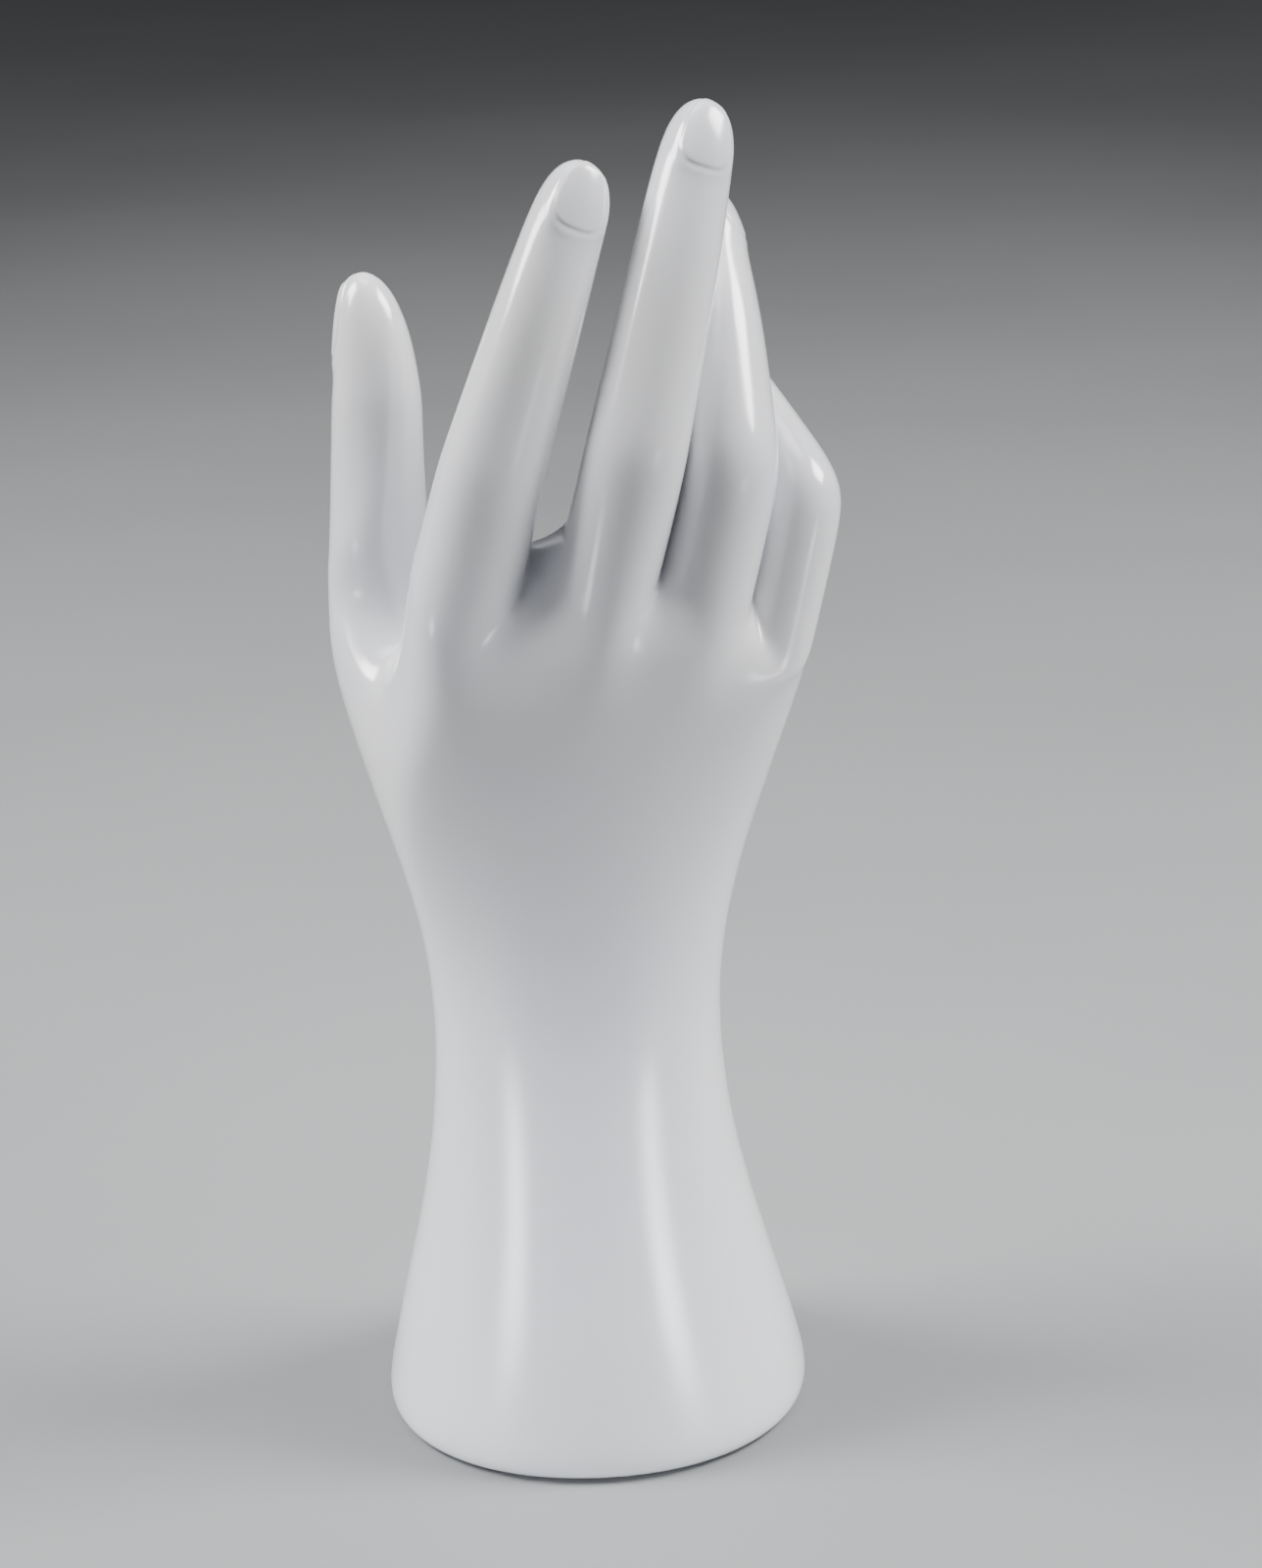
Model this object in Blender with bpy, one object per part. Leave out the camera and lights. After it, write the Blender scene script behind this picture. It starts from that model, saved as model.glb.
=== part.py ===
"""A jewellery display hand: one moulded piece, a slender right hand on a flared forearm.

Millimetres in the values below. +Z is up, the back of the hand faces -Y, the thumb is on -X.
The origin is the middle of the foot, on the surface that the hand stands on.
"""
import math
from dataclasses import dataclass

import bmesh
import bpy
from mathutils import Matrix, Vector

MM = 0.001


@dataclass(frozen=True)
class Section:
    """A level cut through the forearm or the palm, and how squarely it is filled."""

    height: float
    thumb_side: float
    little_side: float
    back: float
    palm: float
    turn: float = 0.0
    fan: float = 0.0
    fullness: float = 2.0


@dataclass(frozen=True)
class Digit:
    """A finger or the thumb, as three straight lengths that bend at its joints."""

    base: tuple
    lengths: tuple
    leans: tuple
    bends: tuple
    rolls: tuple
    breadths: tuple
    depths: tuple
    webs: tuple = (0.0, 0.0)
    nail_root: float = 0.48
    nail_side: float = 0.0
    tip_roundness: float = 2.2


@dataclass(frozen=True)
class Swell:
    """A soft rise in the skin, or a hollow where it is negative."""

    place: tuple
    reach: float
    push: tuple


# Foot
FOOT_WIDTH = 84.0
FOOT_DEPTH = 80.0
FOOT_FULLNESS = 2.15
RIM_RADIUS = 3.0
RIM_STEPS = 2

# Forearm and palm, from the foot up
FOREARM = (
    Section(13.0, -39.6, 39.4, -37.4, 37.4, 0.0, 0.0, 2.1),
    Section(26.0, -36.6, 35.8, -33.8, 34.6),
    Section(40.0, -32.9, 31.8, -29.0, 31.4),
    Section(54.0, -30.2, 28.6, -24.4, 28.7),
    Section(68.0, -28.7, 26.9, -19.8, 26.6),
    Section(81.0, -28.4, 26.6, -16.0, 25.4),
    Section(94.0, -29.9, 28.1, -13.8, 25.2, 0.0, 0.15, 2.1),
)
PALM = (
    Section(106.0, -33.3, 31.0, -12.8, 25.6, 1.5, 0.30, 2.2),
    Section(118.0, -36.8, 35.2, -12.4, 24.6, 3.5, 0.45, 2.25),
    Section(131.0, -38.2, 40.2, -12.2, 20.6, 6.5, 0.65, 2.3),
    Section(143.0, -35.2, 44.7, -12.2, 17.4, 9.0, 0.85, 2.3),
)

# Fingers: lengths run from the web to the middle joint, the end joint and the tip, and
# webs tell how far the skin beside the root is raised, thumb side first
FINGER_FULLNESS = 2.35
INDEX = Digit(
    base=(-19.5, -2.8, 157.8),
    lengths=(28.5, 31.6, 28.6),
    leans=(15.2, 19.8, 20.4),
    bends=(7.0, 13.0, 18.0),
    rolls=(4.0, 20.0),
    breadths=(21.0, 19.6, 16.6, 14.8),
    depths=(20.0, 17.6, 15.0, 13.0),
    webs=(0.0, 6.0),
)
MIDDLE = Digit(
    base=(6.3, -2.0, 157.6),
    lengths=(31.5, 36.5, 30.6),
    leans=(14.7, 14.8, 14.1),
    bends=(5.0, 19.0, 25.0),
    rolls=(6.0, 18.0),
    breadths=(18.6, 18.8, 16.2, 14.6),
    depths=(20.0, 17.6, 15.0, 13.0),
    webs=(6.0, 3.6),
)
RING = Digit(
    base=(24.3, 2.0, 155.4),
    lengths=(30.4, 30.0, 28.0),
    leans=(15.2, -1.6, -7.6),
    bends=(9.0, 37.0, 46.0),
    rolls=(28.0, 58.0),
    breadths=(17.8, 17.8, 15.6, 13.8),
    depths=(18.4, 16.6, 14.0, 12.4),
    webs=(3.6, 1.0),
)
LITTLE = Digit(
    base=(38.3, 7.6, 147.6),
    lengths=(30.4, 21.0, 22.0),
    leans=(15.0, -36.0, -40.0),
    bends=(14.0, 50.0, 62.0),
    rolls=(28.0, 66.0),
    breadths=(13.2, 14.0, 13.2, 12.0),
    depths=(15.2, 14.2, 12.0, 10.6),
)
FINGERS = (INDEX, MIDDLE, RING, LITTLE)

THUMB = Digit(
    base=(-35.0, 22.5, 150.7),
    lengths=(31.5, 12.0, 24.3),
    leans=(1.6, 2.4, 1.8),
    bends=(13.0, 11.0, 12.0),
    rolls=(198.0, 262.0),
    breadths=(20.4, 17.4, 16.6, 15.6),
    depths=(18.6, 17.2, 16.8, 15.8),
    nail_root=0.16,
    nail_side=2.6,
    tip_roundness=2.0,
)

# Webs between the fingers, and how far back they sink below the backs of the fingers
WEB_HEIGHT = 6.5
WEB_LEAN = 10.5
WEB_SKIN = 2.5
WEB_SINK_SHARE = 0.4

# Flesh: the knuckles, the hollow of the palm, the heel of the hand on its two sides, and
# the dip where the back of the hand runs into the thumb
INDEX_KNUCKLE = Swell((-21.0, -14.0, 150.0), 7.0, (0.0, -0.4, 0.0))
MIDDLE_KNUCKLE = Swell((4.0, -15.0, 151.0), 7.0, (0.0, -0.5, 0.0))
RING_KNUCKLE = Swell((22.5, -11.0, 149.0), 6.5, (0.0, -0.4, 0.0))
LITTLE_KNUCKLE = Swell((36.0, -4.0, 144.0), 6.5, (0.2, -0.4, 0.0))
PALM_HOLLOW = Swell((4.0, 20.0, 134.0), 17.0, (0.0, -5.0, 0.0))
HAND_HEEL = Swell((24.0, 22.0, 114.0), 18.0, (1.0, 3.5, 0.0))
THUMB_HEEL = Swell((-14.0, 23.0, 119.0), 17.0, (7.0, 3.5, 0.0))
THUMB_SADDLE = Swell((-36.0, -1.0, 142.0), 7.0, (0.0, 5.0, 0.0))
SWELLS = (
    INDEX_KNUCKLE,
    MIDDLE_KNUCKLE,
    RING_KNUCKLE,
    LITTLE_KNUCKLE,
    PALM_HOLLOW,
    HAND_HEEL,
    THUMB_HEEL,
    THUMB_SADDLE,
)

# Ball of the thumb: how far it stands out, which way round it is left flat for the web, and
# the corners beside the web that are eased
THENAR_SWELL = 5.4
THENAR_OUTER_SHARE = 0.95
THENAR_WEB_ANGLE = 150.0
THENAR_SHARES = (0.3, 0.62)
THENAR_WEB_CORNERS = slice(4, 9)
PALM_WEB_CORNERS = slice(3, 7)
THENAR_EASE_FACTOR = 0.5
THENAR_PASSES = 3
THUMB_WEB_RISE = 15.0

# Nails
NAIL_INSET = 0.9
NAIL_LIFT = 0.35

# Cage: its columns and sides, where its loops sit at roots, joints and tips, and its smoothing
COLUMNS = 12
THUMB_COLUMNS = 3
FINGER_SIDES = 8
THUMB_SIDES = 12
FAN_SHARE = 0.97
KNUCKLE_SHARE = 0.5
FINGER_ROOT_SHARES = (0.0, 0.12, 0.5)
FINGER_WEB_SHARES = (1.0, 0.85, 0.3)
THUMB_ROOT_SHARES = (0.0, 0.5)
THUMB_WEB_SHARES = (1.0, 0.4)
JOINT_SPAN = 6.0
MIDDLE_SHARE = 0.5
TIP_SHARES = (0.5, 0.85)
TIP_RISE = 1.0
CAP_SHARE = 0.4
NAIL_ROWS = (-3, -2, -1)
SMOOTHING = 1

# Finish
WHITE_PLASTIC = (0.78, 0.79, 0.82, 1.0)
GLOSS_ROUGHNESS = 0.2


def clear_scene():
    """Remove every object that the file opened with."""
    for thing in list(bpy.data.objects):
        bpy.data.objects.remove(thing, do_unlink=True)


def blend(start, end, share):
    """The point, or number, a share of the way from start to end."""
    return start * (1.0 - share) + end * share


def direction(lean, bend):
    """A finger's direction from its lean to the side and its bend towards the palm."""
    lean, bend = math.radians(lean), math.radians(bend)
    flat = math.cos(bend)
    return Vector((math.sin(lean) * flat, math.sin(bend), math.cos(lean) * flat))


def back_of(along, roll):
    """The direction that a finger's back faces, square to the finger."""
    turned = math.radians(roll)
    back = Vector((math.sin(turned), -math.cos(turned), 0.0))
    return (back - along * back.dot(along)).normalized()


def loop(centre, along, roll, breadth, depth, sides):
    """Points around a finger, from the middle of its back towards the little finger.

    The finger is a little fuller than an oval. Smoothing draws a cage in, so it starts larger.
    """
    back = back_of(along, roll)
    side = along.cross(back)
    grow = 3.0 / (2.0 + math.cos(math.tau / sides))
    points = []
    for step in range(sides):
        angle = math.tau * step / sides
        over, across = math.cos(angle), math.sin(angle)
        spread = abs(over) ** FINGER_FULLNESS + abs(across) ** FINGER_FULLNESS
        reach = grow * spread ** (-1.0 / FINGER_FULLNESS) / 2.0
        points.append(centre + (back * (over * depth) + side * (across * breadth)) * reach)
    return points


def section_columns(section, fan):
    """The points of a section: thumb side, back, little finger's side, then palm."""
    middle = (section.thumb_side + section.little_side) / 2.0
    half = (section.little_side - section.thumb_side) / 2.0
    shares = []
    for column in range(COLUMNS):
        even = -math.cos(math.pi * (column + 1) / (COLUMNS + 1))
        shares.append(blend(even, fan[column], section.fan))
    centre = (section.back + section.palm) / 2.0
    deep = (section.palm - section.back) / 2.0
    slope = math.tan(math.radians(section.turn))

    def point(share, facing):
        inner = min(1.0, abs(share))
        rise = (1.0 - inner ** section.fullness) ** (1.0 / section.fullness)
        x = middle + half * share
        y = centre + facing * deep * rise + slope * half * share
        return Vector((x, y, section.height))

    back = [point(share, -1.0) for share in shares]
    palm = [point(share, 1.0) for share in reversed(shares)]
    return [point(-1.0, 0.0)] + back + [point(1.0, 0.0)] + palm


def finger_fan(fingers, section):
    """How far across the palm each column of the fingers' roots lies, from -1 to 1."""
    middle = (section.thumb_side + section.little_side) / 2.0
    half = (section.little_side - section.thumb_side) / 2.0
    fan = []
    for finger in fingers:
        quarter = finger.breadths[0] / 2.0 * math.sin(math.pi / 4.0)
        for offset in (-quarter, 0.0, quarter):
            share = (finger.base[0] + offset - middle) / half
            fan.append(max(-FAN_SHARE, min(FAN_SHARE, share)))
    return fan


def digit_path(digit):
    """The joints of a finger and the direction of each of its three lengths."""
    joints = [Vector(digit.base)]
    ways = []
    for length, lean, bend in zip(digit.lengths, digit.leans, digit.bends):
        ways.append(direction(lean, bend))
        joints.append(joints[-1] + ways[-1] * length)
    return joints, ways


def digit_loops(digit, sides, root_shares):
    """The loops of points that a finger is skinned over, from its root to its tip."""
    joints, ways = digit_path(digit)
    first, second, last = digit.lengths
    knee = (ways[0] + ways[1]).normalized()
    end_knee = (ways[1] + ways[2]).normalized()
    root = digit.nail_root
    places = [(0, first * share, ways[0]) for share in root_shares]
    places += [
        (0, first - JOINT_SPAN, ways[0]),
        (1, 0.0, knee),
        (1, JOINT_SPAN, ways[1]),
        (1, blend(JOINT_SPAN, second, MIDDLE_SHARE), ways[1]),
        (2, 0.0, end_knee),
        (2, last * root, ways[2]),
    ]
    places += [(2, last * blend(root, 1.0, share), ways[2]) for share in TIP_SHARES]
    whole = sum(digit.lengths)
    marks = (0.0, first, first + second, first + second + last * root)
    loops = []
    for joint, offset, way in places:
        run = sum(digit.lengths[:joint]) + offset
        past = max(0.0, (run - marks[3]) / (whole - marks[3]))
        taper = (1.0 - past ** digit.tip_roundness) ** (1.0 / digit.tip_roundness)
        breadth = along_marks(marks, digit.breadths, run) * taper
        depth = along_marks(marks, digit.depths, run) * taper
        roll = blend(digit.rolls[0], digit.rolls[1], min(1.0, run / (first + second)))
        centre = joints[joint] + ways[joint] * offset
        centre += back_of(way, roll) * (digit.nail_side * past ** 2)
        loops.append(loop(centre, way, roll, breadth, depth, sides))
    tip = joints[-1] + ways[2] * TIP_RISE
    tip += back_of(ways[2], digit.rolls[1]) * digit.nail_side
    return loops, tip


def along_marks(marks, values, run):
    """The value at a distance along a finger, straight between the marks."""
    for index in range(len(marks) - 1):
        if run <= marks[index + 1]:
            start, end = marks[index], marks[index + 1]
            return blend(values[index], values[index + 1], (run - start) / (end - start))
    return values[-1]


def lean_root(points, digit, share):
    """Tilt a finger's root loop, so that the web is low on the back and high in the palm."""
    along = direction(digit.leans[0], digit.bends[0])
    back = back_of(along, digit.rolls[0])
    leant = []
    for step, point in enumerate(points):
        angle = math.tau * step / len(points)
        across = math.sin(angle)
        web = digit.webs[1] if across > 0.0 else digit.webs[0]
        slide = WEB_HEIGHT - WEB_LEAN * math.cos(angle) + (WEB_SKIN + web) * across ** 2
        sink = WEB_SINK_SHARE * web * across ** 2
        leant.append(point + (along * slide - back * sink) * share)
    return leant


def raise_thumb_web(points, share):
    """Tilt the thumb's root loop, so that it is high where the web meets it."""
    along = direction(THUMB.leans[0], THUMB.bends[0])
    raised = []
    for step, point in enumerate(points):
        angle = math.tau * step / len(points) - math.radians(THENAR_WEB_ANGLE)
        rise = THUMB_WEB_RISE * (1.0 + math.cos(angle)) / 2.0
        raised.append(point + along * (rise * share))
    return raised


def swollen(point):
    """A point moved by every swell that reaches it."""
    moved = point.copy()
    for swell in SWELLS:
        near = (point - Vector(swell.place)).length / swell.reach
        moved += Vector(swell.push) * math.exp(-near * near)
    return moved


class Skin:
    """The mesh in the making: points in millimetres in, quads and one flat base out."""

    def __init__(self):
        self.mesh = bmesh.new()

    def points(self, places):
        """Add points, and return their vertices."""
        return [self.mesh.verts.new(place) for place in places]

    def face(self, *corners):
        """Add one face."""
        return self.mesh.faces.new(corners)

    def band(self, low, high, skip=()):
        """Join two loops of the same count with quads, but for the columns to skip."""
        count = len(low)
        faces = []
        for column in range(count):
            after = (column + 1) % count
            if column not in skip:
                faces.append(self.face(low[column], low[after], high[after], high[column]))
        return faces

    def cap(self, ring, tip):
        """Close a fingertip of eight or twelve sides with quads."""
        sides = len(ring)
        if sides == FINGER_SIDES:
            top = self.mesh.verts.new(tip)
            for corner in range(0, sides, 2):
                self.face(top, ring[corner], ring[corner + 1], ring[(corner + 2) % sides])
            return
        corners = range(0, sides, 3)
        inner = [self.mesh.verts.new(blend(tip, ring[at].co, CAP_SHARE)) for at in corners]
        for at, near, follower in zip(corners, inner, inner[1:] + inner[:1]):
            self.face(ring[at - 1], ring[at], ring[at + 1], near)
            self.face(near, ring[at + 1], ring[at + 2], follower)
        self.face(*inner)


def foot_rings():
    """Sections of the foot: its flat face, then the rounded rim above it."""
    rings = []
    for step in range(RIM_STEPS + 1):
        angle = math.pi / 2.0 * step / RIM_STEPS
        inset = RIM_RADIUS * (1.0 - math.sin(angle))
        height = RIM_RADIUS * (1.0 - math.cos(angle))
        half_width = FOOT_WIDTH / 2.0 - inset
        half_depth = FOOT_DEPTH / 2.0 - inset
        rings.append(
            Section(
                height,
                -half_width,
                half_width,
                -half_depth,
                half_depth,
                fullness=FOOT_FULLNESS,
            )
        )
    return rings


def raise_nail(skin, loops, columns):
    """Lift a fingernail from the back of a fingertip."""
    wanted = set()
    for row in NAIL_ROWS:
        for column in columns:
            wanted.add(loops[row][column])
    faces = [face for face in skin.mesh.faces if all(corner in wanted for corner in face.verts)]
    bmesh.ops.inset_region(
        skin.mesh,
        faces=faces,
        thickness=NAIL_INSET,
        depth=NAIL_LIFT,
        use_even_offset=True,
    )


def build_forearm(skin, fan):
    """Skin the foot and the forearm, and return the top loop."""
    sections = foot_rings() + list(FOREARM)
    loops = [skin.points(section_columns(section, fan)) for section in sections]
    skin.face(*reversed(loops[0]))
    for low, high in zip(loops, loops[1:]):
        skin.band(low, high)
    crease = skin.mesh.edges.layers.float.new("crease_edge")
    for start, end in zip(loops[0], loops[0][1:] + loops[0][:1]):
        skin.mesh.edges.get((start, end))[crease] = 1.0
    return loops[-1]


def build_palm(skin, fan, wrist):
    """Skin the palm above the wrist, and leave a patch open for the thumb."""
    rows = []
    for section in PALM:
        rows.append(skin.points([swollen(point) for point in section_columns(section, fan)]))
    skin.band(wrist, rows[0])
    patch = range(len(wrist) - THUMB_COLUMNS, len(wrist))
    for low, high in zip(rows, rows[1:]):
        skin.band(low, high, skip=patch)
    return rows


def build_fingers(skin, top):
    """Skin the knuckles, the webs and the four fingers above the palm's top loop."""
    roots = []
    loops_of = []
    for finger in FINGERS:
        loops, tip = digit_loops(finger, FINGER_SIDES, FINGER_ROOT_SHARES)
        for row, share in enumerate(FINGER_WEB_SHARES):
            loops[row] = lean_root(loops[row], finger, share)
        vertices = [skin.points(points) for points in loops]
        for low, high in zip(vertices, vertices[1:]):
            skin.band(low, high)
        skin.cap(vertices[-1], tip)
        roots.append(vertices[0])
        loops_of.append(vertices)
    around = [roots[0][6]]
    for root in roots:
        around += [root[7], root[0], root[1]]
    around.append(roots[-1][2])
    for root in reversed(roots):
        around += [root[3], root[4], root[5]]
    places = []
    for low, high in zip(top, around):
        places.append(swollen(blend(low.co, high.co, KNUCKLE_SHARE)))
    knuckles = skin.points(places)
    skin.band(top, knuckles)
    skin.band(knuckles, around)
    for left, right in zip(roots, roots[1:]):
        skin.face(left[1], right[7], right[6], left[2])
        skin.face(left[2], right[6], right[5], left[3])
    for vertices in loops_of:
        raise_nail(skin, vertices, (FINGER_SIDES - 1, 0, 1))


def build_thumb(skin, rows):
    """Skin the ball of the thumb and the thumb, out of the patch left in the palm."""
    side, near, middle, far = 0, -1, -2, -3
    edge = [rows[1][side], rows[2][side], rows[3][side], rows[3][near], rows[3][middle]]
    edge += [rows[3][far], rows[2][far], rows[1][far], rows[0][far], rows[0][middle]]
    edge += [rows[0][near], rows[0][side]]
    loops, tip = digit_loops(THUMB, THUMB_SIDES, THUMB_ROOT_SHARES)
    for row, share in enumerate(THUMB_WEB_SHARES):
        loops[row] = raise_thumb_web(loops[row], share)
    vertices = [skin.points(points) for points in loops]
    root = vertices[0]
    centre = Vector(THUMB.base)
    rings = [edge]
    soft = edge[PALM_WEB_CORNERS]
    for share in THENAR_SHARES:
        places = []
        for step, (low, high) in enumerate(zip(edge, root)):
            angle = math.tau * step / len(root) - math.radians(THENAR_WEB_ANGLE)
            outer = THENAR_OUTER_SHARE - math.cos(angle)
            swell = THENAR_SWELL * max(0.0, outer) * math.sin(math.pi * share)
            outwards = (high.co - centre).normalized()
            places.append(blend(low.co, high.co, share) + outwards * swell)
        rings.append(skin.points(places))
        soft += rings[-1][THENAR_WEB_CORNERS]
    rings += vertices
    for low, high in zip(rings, rings[1:]):
        skin.band(low, high)
    skin.cap(vertices[-1], tip)
    for _ in range(THENAR_PASSES):
        bmesh.ops.smooth_vert(
            skin.mesh,
            verts=soft,
            factor=THENAR_EASE_FACTOR,
            use_axis_x=True,
            use_axis_y=True,
            use_axis_z=True,
        )
    raise_nail(skin, vertices, (THUMB_SIDES - 1, 0, 1))


def plastic():
    """Glossy white moulded plastic."""
    material = bpy.data.materials.new("white_plastic")
    material.use_nodes = True
    shader = material.node_tree.nodes["Principled BSDF"]
    shader.inputs["Base Color"].default_value = WHITE_PLASTIC
    shader.inputs["Roughness"].default_value = GLOSS_ROUGHNESS
    shader.inputs["Metallic"].default_value = 0.0
    return material


def build_hand():
    """Model the whole hand as one closed skin, and smooth it."""
    skin = Skin()
    fan = finger_fan(FINGERS, PALM[-1])
    wrist = build_forearm(skin, fan)
    rows = build_palm(skin, fan, wrist)
    build_fingers(skin, rows[-1])
    build_thumb(skin, rows)
    bmesh.ops.recalc_face_normals(skin.mesh, faces=skin.mesh.faces)
    bmesh.ops.transform(skin.mesh, matrix=Matrix.Scale(MM, 4), verts=skin.mesh.verts)
    mesh = bpy.data.meshes.new("display_hand")
    skin.mesh.to_mesh(mesh)
    skin.mesh.free()
    mesh.shade_smooth()
    mesh.materials.append(plastic())
    hand = bpy.data.objects.new("display_hand", mesh)
    bpy.context.scene.collection.objects.link(hand)
    smooth = hand.modifiers.new("smooth", "SUBSURF")
    smooth.levels = SMOOTHING
    smooth.render_levels = SMOOTHING
    return hand


clear_scene()
build_hand()
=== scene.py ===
"""Looks of a jewelry display hand: one glossy white moulding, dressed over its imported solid.

Metres. +Z is up, the back of the hand faces -Y, the thumb is on -X, and the foot stands on Z = 0.
"""

import logging
import math
from dataclasses import dataclass
from enum import Enum

import bpy
import numpy as np
from mathutils import Matrix, Vector


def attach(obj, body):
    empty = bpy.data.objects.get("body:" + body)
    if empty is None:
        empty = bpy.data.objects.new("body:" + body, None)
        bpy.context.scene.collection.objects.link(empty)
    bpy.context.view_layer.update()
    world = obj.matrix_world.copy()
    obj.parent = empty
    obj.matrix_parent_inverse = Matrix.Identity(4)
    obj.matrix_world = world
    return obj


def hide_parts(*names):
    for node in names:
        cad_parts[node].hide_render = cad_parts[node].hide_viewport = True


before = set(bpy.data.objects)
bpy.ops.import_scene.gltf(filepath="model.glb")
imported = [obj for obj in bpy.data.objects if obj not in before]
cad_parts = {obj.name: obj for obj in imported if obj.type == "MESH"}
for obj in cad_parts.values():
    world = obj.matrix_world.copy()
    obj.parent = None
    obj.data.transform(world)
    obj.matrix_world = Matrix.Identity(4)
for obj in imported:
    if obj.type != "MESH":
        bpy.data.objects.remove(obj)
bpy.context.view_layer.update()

LOG = logging.getLogger("display_hand")
BODY = "root"
NODE = "display_hand"
MM = 0.001
TINY = 1e-6

# The unevenness that the finishes share: how fine its noise is, which part of the noise's range
# it uses, and the values that its inputs start with.
CLOUD_DETAIL = 4.0
CLOUD_SPAN = (0.35, 0.65)
CLOUD_INPUTS = {"Size": 0.05, "Low": 0.0, "High": 1.0}

Point = tuple[float, float, float]
Colour = tuple[float, float, float, float]


class Side(Enum):
    """The side of the hand that a softbox stands on."""

    THUMB = -1.0
    LITTLE_FINGER = 1.0


def select_only(piece: bpy.types.Object) -> None:
    """Select one object, and make it active."""
    bpy.ops.object.select_all(action="DESELECT")
    piece.select_set(True)
    bpy.context.view_layer.objects.active = piece


def smooth_step(values: np.ndarray, low: float, high: float) -> np.ndarray:
    """Ease from 0 at low to 1 at high.

    Args:
        values: What is eased.
        low: The value that becomes 0.
        high: The value that becomes 1.

    Returns:
        The eased values, from 0 to 1.
    """
    share = np.clip((values - low) / (high - low), 0.0, 1.0)
    return share * share * (3.0 - 2.0 * share)


def bell(values: np.ndarray, middle: float, reach: float) -> np.ndarray:
    """A smooth hump.

    Args:
        values: Distances.
        middle: The distance at its top.
        reach: How far from the middle it has fallen to about a third.

    Returns:
        Its height, from 0 to 1.
    """
    return np.exp(-(((values - middle) / reach) ** 2))


class NodeGraph:
    """A node tree in the making."""

    def __init__(self, tree: bpy.types.NodeTree) -> None:
        """Keep the tree that the nodes go into."""
        self.tree = tree

    def add(self, kind: str, **settings: object) -> bpy.types.Node:
        """Add a node.

        Args:
            kind: The node's type name.
            settings: Properties of the node, by name.

        Returns:
            The new node.
        """
        node = self.tree.nodes.new(kind)
        for name, value in settings.items():
            setattr(node, name, value)
        return node

    def join(self, source: bpy.types.NodeSocket, target: bpy.types.NodeSocket) -> None:
        """Link an output to an input."""
        self.tree.links.new(source, target)

    def feed(self, value: object, target: bpy.types.NodeSocket) -> None:
        """Give an input its value.

        Args:
            value: A socket to link, or else a number or a colour to set.
            target: The input.
        """
        if isinstance(value, bpy.types.NodeSocket):
            self.join(value, target)
        else:
            target.default_value = value

    def maths(self, operation: str, first: object, second: object) -> bpy.types.NodeSocket:
        """Add a math node.

        Args:
            operation: The operation's name.
            first: A socket or a number.
            second: A socket or a number.

        Returns:
            The result.
        """
        node = self.add("ShaderNodeMath", operation=operation)
        for target, value in zip(node.inputs, (first, second)):
            self.feed(value, target)
        return node.outputs["Value"]

    def ramp(
        self,
        value: bpy.types.NodeSocket,
        span: tuple[float, float],
        result: tuple[float, float],
    ) -> bpy.types.NodeSocket:
        """Map a value smoothly from one span to another.

        Args:
            value: What is mapped.
            span: Its low and high value.
            result: What these become.

        Returns:
            The mapped value.
        """
        node = self.add("ShaderNodeMapRange", interpolation_type="SMOOTHSTEP")
        self.join(value, node.inputs["Value"])
        node.inputs["From Min"].default_value = span[0]
        node.inputs["From Max"].default_value = span[1]
        node.inputs["To Min"].default_value = result[0]
        node.inputs["To Max"].default_value = result[1]
        return node.outputs["Result"]

    def lumps(self, place: bpy.types.NodeSocket, size: float, detail: float) -> bpy.types.NodeSocket:
        """Add a noise.

        Args:
            place: The coordinates that it reads.
            size: The size of its lumps in metres.
            detail: How many finer layers it has.

        Returns:
            Its value, about 0.5 and from 0 to 1.
        """
        node = self.add("ShaderNodeTexNoise")
        node.inputs["Scale"].default_value = 1.0 / size
        node.inputs["Detail"].default_value = detail
        self.join(place, node.inputs["Vector"])
        return node.outputs["Fac"]

    def blend(self, share: bpy.types.NodeSocket, first: object, second: object) -> bpy.types.NodeSocket:
        """Blend two colours.

        Args:
            share: How much of the second colour there is, from 0 to 1.
            first: A socket or a colour.
            second: A socket or a colour.

        Returns:
            The blended colour.
        """
        node = self.add("ShaderNodeMix", data_type="RGBA")
        self.join(share, node.inputs["Factor"])
        self.feed(first, node.inputs["A"])
        self.feed(second, node.inputs["B"])
        return next(output for output in node.outputs if output.type == "RGBA")


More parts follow.
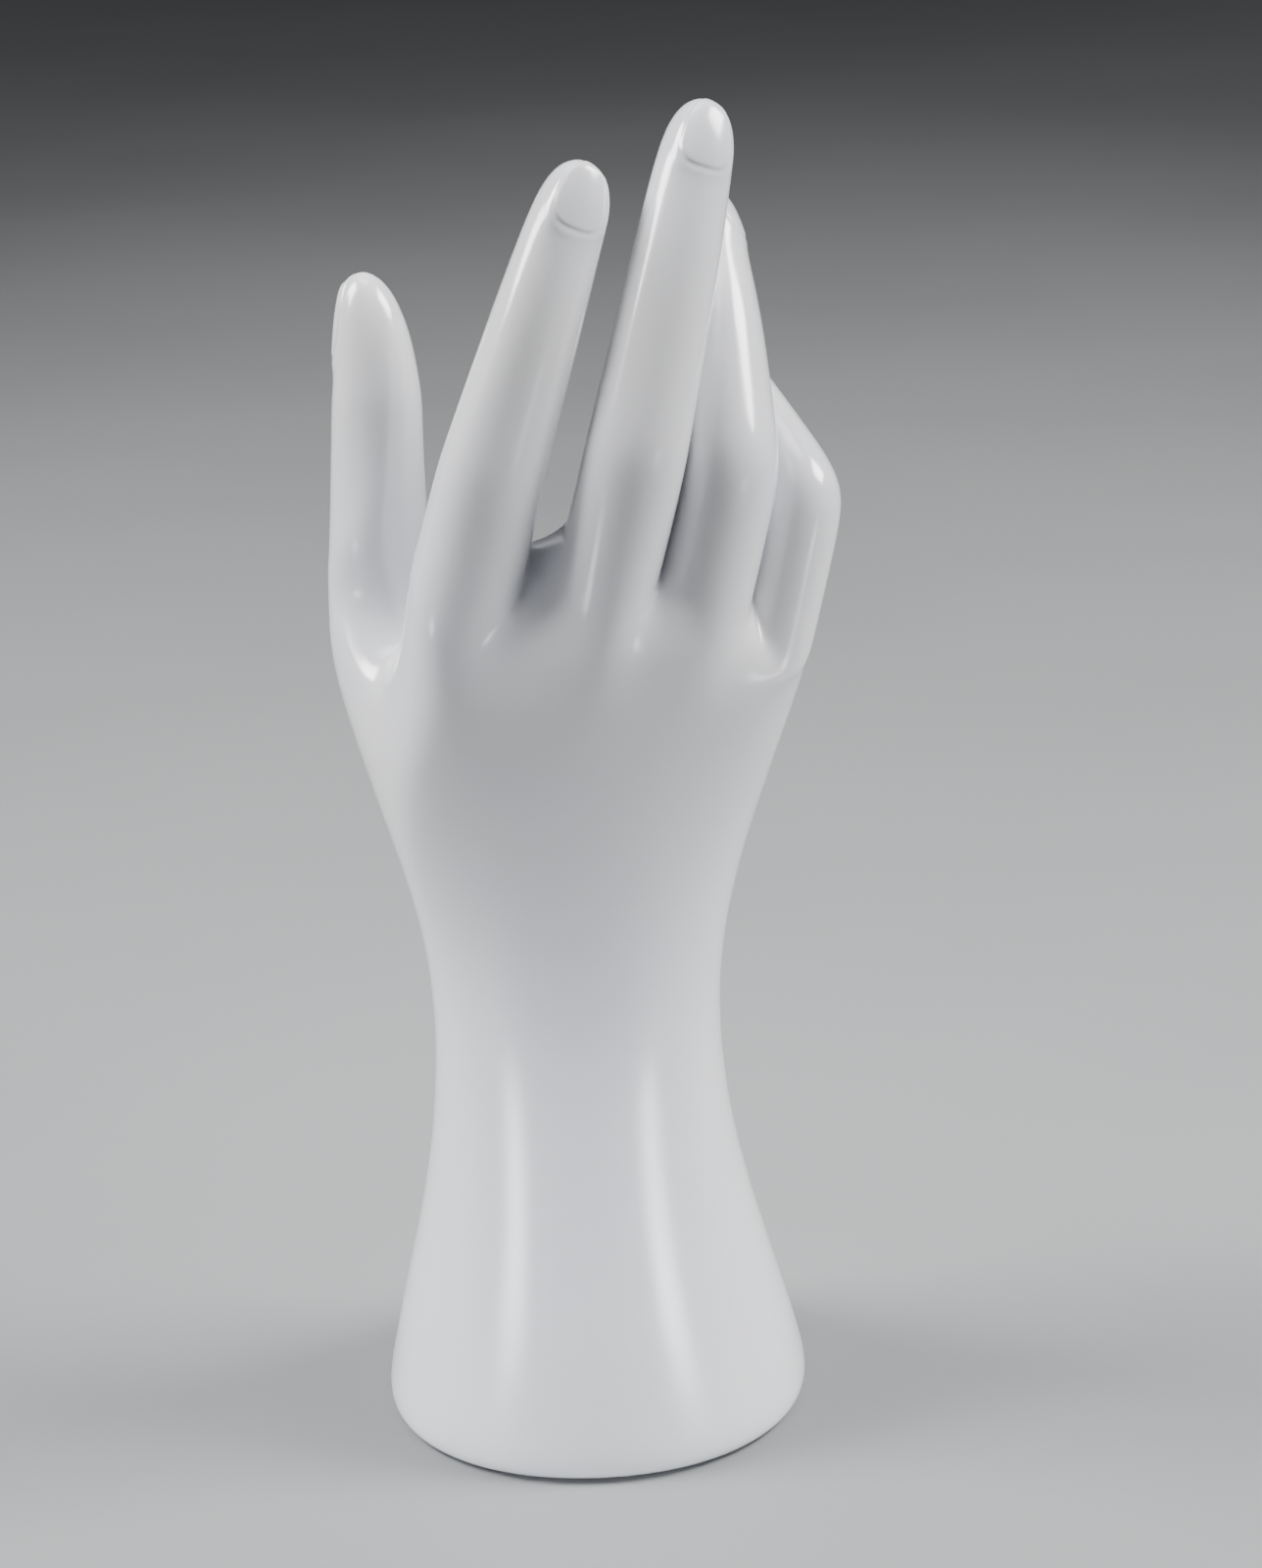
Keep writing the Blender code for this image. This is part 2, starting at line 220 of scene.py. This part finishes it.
def cloudiness_group() -> bpy.types.ShaderNodeTree:
    """Build the soft unevenness that the plastic and the floor both have.

    Returns:
        A group from Size, Low and High to Value.
    """
    tree = bpy.data.node_groups.new("cloudiness", "ShaderNodeTree")
    for name, value in CLOUD_INPUTS.items():
        inlet_socket = tree.interface.new_socket(name, in_out="INPUT", socket_type="NodeSocketFloat")
        inlet_socket.default_value = value
    tree.interface.new_socket("Value", in_out="OUTPUT", socket_type="NodeSocketFloat")
    graph = NodeGraph(tree)
    inlet = graph.add("NodeGroupInput")
    outlet = graph.add("NodeGroupOutput")
    place = graph.add("ShaderNodeTexCoord")
    cloud = graph.add("ShaderNodeTexNoise")
    cloud.inputs["Detail"].default_value = CLOUD_DETAIL
    graph.join(place.outputs["Object"], cloud.inputs["Vector"])
    graph.join(graph.maths("DIVIDE", 1.0, inlet.outputs["Size"]), cloud.inputs["Scale"])
    spread = graph.add("ShaderNodeMapRange", interpolation_type="SMOOTHSTEP")
    spread.inputs["From Min"].default_value = CLOUD_SPAN[0]
    spread.inputs["From Max"].default_value = CLOUD_SPAN[1]
    graph.join(cloud.outputs["Fac"], spread.inputs["Value"])
    graph.join(inlet.outputs["Low"], spread.inputs["To Min"])
    graph.join(inlet.outputs["High"], spread.inputs["To Max"])
    graph.join(spread.outputs["Result"], outlet.inputs["Value"])
    return tree


def cloudiness(
    graph: NodeGraph,
    group: bpy.types.ShaderNodeTree,
    size: float,
    low: float,
    high: float,
) -> bpy.types.NodeSocket:
    """Place the soft unevenness in a material.

    Args:
        graph: The material's nodes.
        group: The shared group.
        size: The size of the clouds in metres.
        low: The value in the low places.
        high: The value in the high places.

    Returns:
        The value over the surface.
    """
    node = graph.add("ShaderNodeGroup", node_tree=group)
    node.inputs["Size"].default_value = size
    node.inputs["Low"].default_value = low
    node.inputs["High"].default_value = high
    return node.outputs["Value"]


@dataclass(frozen=True)
class GlossPlastic:
    """White plastic as it leaves a polished mould, a little handled.

    Attributes:
        cool: One of the two tints that it drifts between.
        warm: The other tint.
        scuffed: The tint of what is rubbed.
        tint_size: How far apart the tints lie.
        gloss: The roughness where it is clean.
        smudged: The roughness where it was handled.
        smudge_size: How large the handled places are.
        refraction: The plastic's index of refraction.
        coat: The weight of the polished outer skin.
        coat_roughness: The outer skin's roughness.
        scuff_height: How high up the foot's rim is rubbed.
        scuff_size: How large the scuffs are.
        scuff_detail: How many finer layers they have.
        scuff_specks: The part of the noise over which scuffs come in.
        scuff_roughness: What they add to the roughness.
        peel_size: How far apart the fine ripples of the skin lie.
        peel_detail: How many finer layers the ripples have.
        peel_height: How high the ripples are.
        sink_size: How far apart the shallow sinks lie.
        sink_detail: How many finer layers the sinks have.
        sink_height: How deep the sinks are.
        seam_slope: How much the mould line leans towards the palm on its way up.
        seam_width: Half the mould line's width.
        seam_height: How far the mould line stands up.
        seam_top: How high up the forearm it reaches before it has faded.
    """

    cool: Colour = (0.84, 0.85, 0.895, 1.0)
    warm: Colour = (0.855, 0.855, 0.87, 1.0)
    scuffed: Colour = (0.62, 0.62, 0.61, 1.0)
    tint_size: float = 60.0 * MM
    gloss: float = 0.16
    smudged: float = 0.22
    smudge_size: float = 18.0 * MM
    refraction: float = 1.5
    coat: float = 0.6
    coat_roughness: float = 0.16
    scuff_height: float = 2.2 * MM
    scuff_size: float = 2.5 * MM
    scuff_detail: float = 5.0
    scuff_specks: tuple[float, float] = (0.5, 0.7)
    scuff_roughness: float = 0.4
    peel_size: float = 1.6 * MM
    peel_detail: float = 2.0
    peel_height: float = 0.006 * MM
    sink_size: float = 14.0 * MM
    sink_detail: float = 1.0
    sink_height: float = 0.05 * MM
    seam_slope: float = 0.065
    seam_width: float = 0.22 * MM
    seam_height: float = 0.03 * MM
    seam_top: float = 0.112

    def scuffs(self, graph: NodeGraph, place: bpy.types.NodeSocket) -> bpy.types.NodeSocket:
        """Where the foot's rim is rubbed.

        Args:
            graph: The material's nodes.
            place: Object coordinates.

        Returns:
            A mask from 0 to 1.
        """
        apart = graph.add("ShaderNodeSeparateXYZ")
        graph.join(place, apart.inputs["Vector"])
        low = graph.ramp(apart.outputs["Z"], (0.0, self.scuff_height), (1.0, 0.0))
        noise = graph.lumps(place, self.scuff_size, self.scuff_detail)
        specks = graph.ramp(noise, self.scuff_specks, (0.0, 1.0))
        return graph.maths("MULTIPLY", low, specks)

    def seam(self, graph: NodeGraph, place: bpy.types.NodeSocket) -> bpy.types.NodeSocket:
        """The faint line up both sides of the forearm, where the mould's halves met.

        Args:
            graph: The material's nodes.
            place: Object coordinates.

        Returns:
            A mask from 0 to 1.
        """
        apart = graph.add("ShaderNodeSeparateXYZ")
        graph.join(place, apart.inputs["Vector"])
        plane = graph.maths("MULTIPLY", apart.outputs["Z"], self.seam_slope)
        offset = graph.maths("ABSOLUTE", graph.maths("SUBTRACT", apart.outputs["Y"], plane), 0.0)
        line = graph.ramp(offset, (0.0, self.seam_width), (1.0, 0.0))
        fade = graph.ramp(apart.outputs["Z"], (self.seam_top / 2.0, self.seam_top), (1.0, 0.0))
        return graph.maths("MULTIPLY", line, fade)

    def relief(self, graph: NodeGraph, place: bpy.types.NodeSocket) -> bpy.types.NodeSocket:
        """The moulding's fine relief as a normal.

        Args:
            graph: The material's nodes.
            place: Object coordinates.

        Returns:
            The normal.
        """
        ripples = graph.lumps(place, self.peel_size, self.peel_detail)
        peel = graph.maths("MULTIPLY", ripples, self.peel_height)
        sinks = graph.lumps(place, self.sink_size, self.sink_detail)
        sink = graph.maths("MULTIPLY", sinks, self.sink_height)
        seam = graph.maths("MULTIPLY", self.seam(graph, place), self.seam_height)
        height = graph.maths("ADD", graph.maths("ADD", peel, sink), seam)
        # The height is in metres already, so the bump neither scales nor weakens it.
        bump = graph.add("ShaderNodeBump")
        bump.inputs["Distance"].default_value = 1.0
        bump.inputs["Strength"].default_value = 1.0
        graph.join(height, bump.inputs["Height"])
        return bump.outputs["Normal"]

    def material(self, name: str, clouds: bpy.types.ShaderNodeTree) -> bpy.types.Material:
        """Build the material.

        Args:
            name: Its name.
            clouds: The shared unevenness.

        Returns:
            The material.
        """
        material = bpy.data.materials.new(name)
        material.use_nodes = True
        graph = NodeGraph(material.node_tree)
        shader = material.node_tree.nodes["Principled BSDF"]
        place = graph.add("ShaderNodeTexCoord").outputs["Object"]
        tint = graph.blend(cloudiness(graph, clouds, self.tint_size, 0.0, 1.0), self.cool, self.warm)
        scuffs = self.scuffs(graph, place)
        graph.join(graph.blend(scuffs, tint, self.scuffed), shader.inputs["Base Color"])
        smudges = cloudiness(graph, clouds, self.smudge_size, self.gloss, self.smudged)
        rough = graph.maths("ADD", smudges, graph.maths("MULTIPLY", scuffs, self.scuff_roughness))
        graph.join(rough, shader.inputs["Roughness"])
        shader.inputs["Metallic"].default_value = 0.0
        shader.inputs["IOR"].default_value = self.refraction
        shader.inputs["Coat Weight"].default_value = self.coat
        shader.inputs["Coat Roughness"].default_value = self.coat_roughness
        graph.join(self.relief(graph, place), shader.inputs["Normal"])
        return material


@dataclass(frozen=True)
class FloorPaint:
    """Pale matt paint for the studio floor.

    Attributes:
        light: Its tint in the light patches.
        dark: Its tint in the dark patches.
        patch_size: How large the patches are.
        roughness: Its roughness.
    """

    light: Colour = (0.29, 0.295, 0.30, 1.0)
    dark: Colour = (0.27, 0.275, 0.28, 1.0)
    patch_size: float = 0.35
    roughness: float = 0.6

    def material(self, name: str, clouds: bpy.types.ShaderNodeTree) -> bpy.types.Material:
        """Build the material.

        Args:
            name: Its name.
            clouds: The shared unevenness.

        Returns:
            The material.
        """
        material = bpy.data.materials.new(name)
        material.use_nodes = True
        graph = NodeGraph(material.node_tree)
        shader = material.node_tree.nodes["Principled BSDF"]
        paint = graph.blend(cloudiness(graph, clouds, self.patch_size, 0.0, 1.0), self.light, self.dark)
        graph.join(paint, shader.inputs["Base Color"])
        shader.inputs["Roughness"].default_value = self.roughness
        return material


@dataclass(frozen=True)
class Nail:
    """A nail moulded on a fingertip.

    Attributes:
        joint: The lower end of the digit's last length.
        tip: The upper end of that length.
        roll: Which way the nail faces, in degrees from -Y towards +X.
        girth: How thick the digit is there.
        width: The plate's width, measured round the digit.
        length: The plate's length.
        shortfall: How far the plate's free edge stops short of the tip.
        lift: How far the plate stands up.
        edge: How wide the slope along the plate's border is.
        groove: How deep the groove round the plate is.
        groove_place: How far outside the outline the groove lies.
        groove_reach: How far from there it has faded to about a third.
        fold: How high the fold of skin round the plate is.
        fold_place: How far outside the outline the fold lies.
        fold_reach: How far from there it has faded to about a third.
        fold_fade: Between which shares of the way to the free edge the fold dies away.
        squareness: The power of the outline: 2 is an ellipse, and more is squarer.
        wrap: How far round the digit the nail may reach to each side, in radians.
    """

    joint: Point
    tip: Point
    roll: float
    girth: float
    width: float
    length: float
    shortfall: float
    lift: float = 0.12 * MM
    edge: float = 0.80 * MM
    groove: float = 0.04 * MM
    groove_place: float = 0.10 * MM
    groove_reach: float = 0.50 * MM
    fold: float = 0.04 * MM
    fold_place: float = 1.10 * MM
    fold_reach: float = 0.80 * MM
    fold_fade: tuple[float, float] = (0.2, 0.8)
    squareness: float = 3.2
    wrap: float = 1.75

    def axes(self) -> tuple[np.ndarray, np.ndarray, np.ndarray]:
        """Find the digit's own axes.

        Returns:
            The way along the digit, the way that its nail faces, and the way across it.
        """
        along = (Vector(self.tip) - Vector(self.joint)).normalized()
        turned = math.radians(self.roll)
        back = Vector((math.sin(turned), -math.cos(turned), 0.0))
        back = (back - along * back.dot(along)).normalized()
        return np.array(along), np.array(back), np.array(along.cross(back))

    def measure(self, points: np.ndarray) -> tuple[np.ndarray, np.ndarray, np.ndarray]:
        """Lay the plate's outline on points.

        Args:
            points: Places on the skin, a row each.

        Returns:
            How far outside the outline each point is, how far it is towards the free edge
            (-1 to 1), and whether it is near the plate at all.
        """
        along, back, across = self.axes()
        offset = points - np.array(self.tip)
        run = offset @ along + self.shortfall + self.length / 2.0
        over, beside = offset @ back, offset @ across
        angle = np.arctan2(beside, over)
        side = angle * self.girth / 2.0
        half_width, half_length = self.width / 2.0, self.length / 2.0
        power = self.squareness
        share = (np.abs(side / half_width) ** power + np.abs(run / half_length) ** power) ** (1.0 / power)
        reach = np.hypot(side, run)
        outside = reach - reach / np.maximum(share, TINY)
        near = (np.abs(angle) < self.wrap) & (np.abs(run) < self.length)
        near &= np.hypot(over, beside) < self.girth
        return outside, run / half_length, near

    def height(self, points: np.ndarray) -> np.ndarray:
        """How far the skin is raised or sunk to show the nail.

        Args:
            points: Places on the skin, a row each.

        Returns:
            The rise at each, in metres.
        """
        outside, forward, near = self.measure(points)
        plate = self.lift * (1.0 - smooth_step(outside, -self.edge, 0.0))
        groove = -self.groove * bell(outside, self.groove_place, self.groove_reach)
        fold = self.fold * bell(outside, self.fold_place, self.fold_reach)
        fold *= 1.0 - smooth_step(forward, *self.fold_fade)
        return np.where(near, plate + groove + fold, 0.0)


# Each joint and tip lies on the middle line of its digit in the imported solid.
NAILS = {
    "thumb": Nail(
        joint=(-0.0336, 0.0319, 0.1931),
        tip=(-0.0355, 0.0373, 0.2169),
        roll=262.0,
        girth=16.5 * MM,
        width=12.5 * MM,
        length=15.5 * MM,
        shortfall=0.8 * MM,
    ),
    "index": Nail(
        joint=(-0.0017, 0.0078, 0.2141),
        tip=(0.0078, 0.0166, 0.2396),
        roll=16.0,
        girth=15.0 * MM,
        width=12.0 * MM,
        length=13.5 * MM,
        shortfall=0.8 * MM,
    ),
    "middle": Nail(
        joint=(0.0231, 0.0126, 0.2213),
        tip=(0.0298, 0.0256, 0.2482),
        roll=14.0,
        girth=15.0 * MM,
        width=12.0 * MM,
        length=14.5 * MM,
        shortfall=0.8 * MM,
    ),
    "ring": Nail(
        joint=(0.0315, 0.0248, 0.2083),
        tip=(0.0289, 0.0450, 0.2276),
        roll=58.0,
        girth=14.0 * MM,
        width=9.8 * MM,
        length=12.0 * MM,
        shortfall=0.8 * MM,
    ),
    "little": Nail(
        joint=(0.0380, 0.0310, 0.1870),
        tip=(0.0314, 0.0505, 0.1949),
        roll=66.0,
        girth=12.0 * MM,
        width=8.4 * MM,
        length=10.0 * MM,
        shortfall=0.7 * MM,
    ),
}


@dataclass
class HandSkin:
    """The moulding's fine skin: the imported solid's form, smoothed, with nails.

    Attributes:
        name: The piece's name.
        merge: How near two corners lie that are made one.
        grid_flow: How strongly the quads follow their neighbours.
        smoothing: How many times the form is subdivided.
        nail_cuts: How many times each edge is cut at the nails.
        nail_relax: How many times the cut mesh is evened out.
        nail_ease: How far each of those rounds goes, from 0 to 1.
        nail_margin: How far outside a nail's outline the mesh is cut.
    """

    name: str = "hand_skin"
    merge: float = 0.01 * MM
    grid_flow: float = 1.3
    smoothing: int = 2
    nail_cuts: int = 2
    nail_relax: int = 4
    nail_ease: float = 0.5
    nail_margin: float = 2.6 * MM

    def copy_node(self) -> bpy.types.Object:
        """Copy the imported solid's mesh, and join its loose triangles.

        Returns:
            The new piece, in quads.
        """
        piece = bpy.data.objects.new(self.name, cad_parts[NODE].data.copy())
        bpy.context.scene.collection.objects.link(piece)
        piece.data.name = self.name
        piece.data.materials.clear()
        select_only(piece)
        bpy.ops.object.mode_set(mode="EDIT")
        bpy.ops.mesh.select_all(action="SELECT")
        bpy.ops.mesh.remove_doubles(threshold=self.merge)
        bpy.ops.mesh.tris_convert_to_quads(
            face_threshold=math.pi,
            shape_threshold=math.pi,
            topology_influence=self.grid_flow,
        )
        bpy.ops.object.mode_set(mode="OBJECT")
        return piece

    def refine(self, piece: bpy.types.Object) -> None:
        """Smooth the form with more rounds of subdivision.

        Args:
            piece: The skin.
        """
        modifier = piece.modifiers.new("fine", "SUBSURF")
        modifier.levels = self.smoothing
        modifier.render_levels = self.smoothing
        select_only(piece)
        bpy.ops.object.modifier_apply(modifier=modifier.name)

    def points(self, piece: bpy.types.Object) -> np.ndarray:
        """Read where the skin's vertices are.

        Args:
            piece: The skin.

        Returns:
            Their places, a row each.
        """
        flat = np.empty(len(piece.data.vertices) * 3)
        piece.data.vertices.foreach_get("co", flat)
        return flat.reshape(-1, 3)

    def normals(self, piece: bpy.types.Object) -> np.ndarray:
        """Read which way the skin's vertices face.

        Args:
            piece: The skin.

        Returns:
            Their normals, a row each.
        """
        flat = np.empty(len(piece.data.vertices) * 3)
        piece.data.vertex_normals.foreach_get("vector", flat)
        return flat.reshape(-1, 3)

    def select_faces(self, piece: bpy.types.Object, wanted: np.ndarray) -> None:
        """Select the faces whose corners are all wanted.

        Args:
            piece: The skin.
            wanted: One truth value for each vertex.
        """
        select_only(piece)
        bpy.ops.object.mode_set(mode="EDIT")
        bpy.ops.mesh.select_mode(type="FACE")
        bpy.ops.mesh.select_all(action="DESELECT")
        bpy.ops.object.mode_set(mode="OBJECT")
        for face in piece.data.polygons:
            face.select = all(wanted[corner] for corner in face.vertices)

    def raise_nails(self, piece: bpy.types.Object) -> None:
        """Give the skin a finer mesh at the nails, and raise their plates.

        Args:
            piece: The skin.
        """
        points = self.points(piece)
        wanted = np.zeros(len(points), dtype=bool)
        for nail in NAILS.values():
            outside, _, near = nail.measure(points)
            wanted |= near & (outside < self.nail_margin)
        self.select_faces(piece, wanted)
        bpy.ops.object.mode_set(mode="EDIT")
        bpy.ops.mesh.subdivide(number_cuts=self.nail_cuts)
        bpy.ops.mesh.vertices_smooth(factor=self.nail_ease, repeat=self.nail_relax)
        bpy.ops.object.mode_set(mode="OBJECT")
        points, normals = self.points(piece), self.normals(piece)
        rise = sum(nail.height(points) for nail in NAILS.values())
        points += normals * rise[:, None]
        piece.data.vertices.foreach_set("co", points.ravel())
        piece.data.update()

    def build(self, material: bpy.types.Material) -> bpy.types.Object:
        """Make the skin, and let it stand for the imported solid.

        Args:
            material: Its finish.

        Returns:
            The finished piece.
        """
        piece = self.copy_node()
        self.refine(piece)
        self.raise_nails(piece)
        piece.data.shade_smooth()
        piece.data.materials.append(material)
        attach(piece, BODY)
        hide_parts(NODE)
        return piece


@dataclass(frozen=True)
class Softbox:
    """A soft rectangle of light.

    Attributes:
        name: What it is called, before the name of its side.
        bearing: Where it hangs round the hand, in degrees from the camera's side.
        distance: How far from the hand it hangs.
        height: How high it hangs.
        aim: The height above the foot that it points at.
        size: Its width and its height.
        power: Its power in watts.
        spread: How wide it shines, in degrees.
        colour: The colour of its light.
    """

    name: str
    bearing: float
    distance: float
    height: float
    aim: float
    size: tuple[float, float]
    power: float
    spread: float = 180.0
    colour: tuple[float, float, float] = (1.0, 1.0, 1.0)

    def hang(self, side: Side) -> bpy.types.Object:
        """Hang it on one side of the hand.

        Args:
            side: Which side.

        Returns:
            The light.
        """
        bearing = math.radians(self.bearing)
        across = side.value * self.distance * math.sin(bearing)
        place = Vector((across, -self.distance * math.cos(bearing), self.height))
        turn = (Vector((0.0, 0.0, self.aim)) - place).to_track_quat("-Z", "Y").to_euler()
        bpy.ops.object.light_add(type="AREA", location=place, rotation=turn)
        light = bpy.context.object
        light.name = f"{self.name}_{side.name.lower()}"
        light.data.shape = "RECTANGLE"
        light.data.size, light.data.size_y = self.size
        light.data.energy = self.power
        light.data.spread = math.radians(self.spread)
        light.data.color = self.colour
        return light


@dataclass(frozen=True)
class Studio:
    """A plain pale floor, soft light, and the photograph's view.

    Attributes:
        eye: Where the camera stands.
        pitch: How far it looks down, in degrees.
        roll: How far it leans round its own line of sight, in degrees.
        focal_pixels: Its focal length in pixels of the photograph.
        image_height: The photograph's height in pixels.
        sensor: The sensor's height in millimetres.
        floor_size: The length of the floor's sides.
        high_box: The large light beside the hand, one to each side.
        low_box: The narrow light that draws the long reflections on the forearm, one to each side.
        ceiling: The light above and behind the hand, one to each side.
        sky: The colour of the faint light all round.
        sky_strength: The strength of that light.
    """

    eye: Point = (0.01116, -0.6, 0.346)
    pitch: float = 20.181
    roll: float = -2.3
    focal_pixels: float = 3507.5
    image_height: float = 1600.0
    sensor: float = 36.0
    floor_size: float = 9.0
    high_box: Softbox = Softbox(
        name="high_softbox",
        bearing=95.0,
        distance=0.95,
        height=1.05,
        aim=0.17,
        size=(0.55, 0.55),
        power=12.0,
        spread=110.0,
    )
    low_box: Softbox = Softbox(
        name="low_softbox",
        bearing=47.0,
        distance=0.65,
        height=0.12,
        aim=0.01,
        size=(0.38, 0.18),
        power=0.11,
        spread=24.0,
        colour=(0.90, 0.93, 1.0),
    )
    ceiling: Softbox = Softbox(
        name="ceiling_light",
        bearing=170.0,
        distance=0.40,
        height=3.00,
        aim=0.0,
        size=(1.4, 0.9),
        power=11.0,
    )
    sky: Colour = (0.80, 0.83, 0.88, 1.0)
    sky_strength: float = 0.05

    def build_floor(self, material: bpy.types.Material) -> bpy.types.Object:
        """Lay the floor.

        Args:
            material: Its finish.

        Returns:
            The floor.
        """
        bpy.ops.object.select_all(action="DESELECT")
        bpy.ops.mesh.primitive_plane_add(size=self.floor_size, location=(0.0, 0.0, 0.0))
        floor = bpy.context.object
        floor.name = "studio_floor"
        floor.data.materials.append(material)
        return floor

    def light(self) -> None:
        """Hang a light of each kind on both sides, and set the sky."""
        for side in Side:
            for softbox in (self.high_box, self.low_box, self.ceiling):
                softbox.hang(side)
        world = bpy.data.worlds.new("studio_sky")
        world.use_nodes = True
        background = world.node_tree.nodes["Background"]
        background.inputs["Color"].default_value = self.sky
        background.inputs["Strength"].default_value = self.sky_strength
        bpy.context.scene.world = world

    def place_camera(self) -> bpy.types.Object:
        """Set the camera where the photograph was taken from.

        Returns:
            The camera.
        """
        bpy.ops.object.camera_add(location=self.eye)
        camera = bpy.context.object
        camera.name = "photo_camera"
        tilt = Matrix.Rotation(math.radians(90.0 - self.pitch), 4, "X")
        lean = Matrix.Rotation(math.radians(self.roll), 4, "Z")
        camera.matrix_world = Matrix.Translation(self.eye) @ tilt @ lean
        camera.data.sensor_fit = "VERTICAL"
        camera.data.sensor_height = self.sensor
        camera.data.lens = self.focal_pixels / self.image_height * self.sensor
        bpy.context.scene.camera = camera
        return camera


def main() -> None:
    """Build the hand and the studio around it."""
    clouds = cloudiness_group()
    skin = HandSkin().build(GlossPlastic().material("gloss_white_plastic", clouds))
    LOG.info("%s: %d faces", skin.name, len(skin.data.polygons))
    studio = Studio()
    studio.build_floor(FloorPaint().material("pale_floor_paint", clouds))
    studio.light()
    studio.place_camera()


if __name__ == "__main__":
    logging.basicConfig(level=logging.INFO, format="%(name)s: %(message)s")
    main()
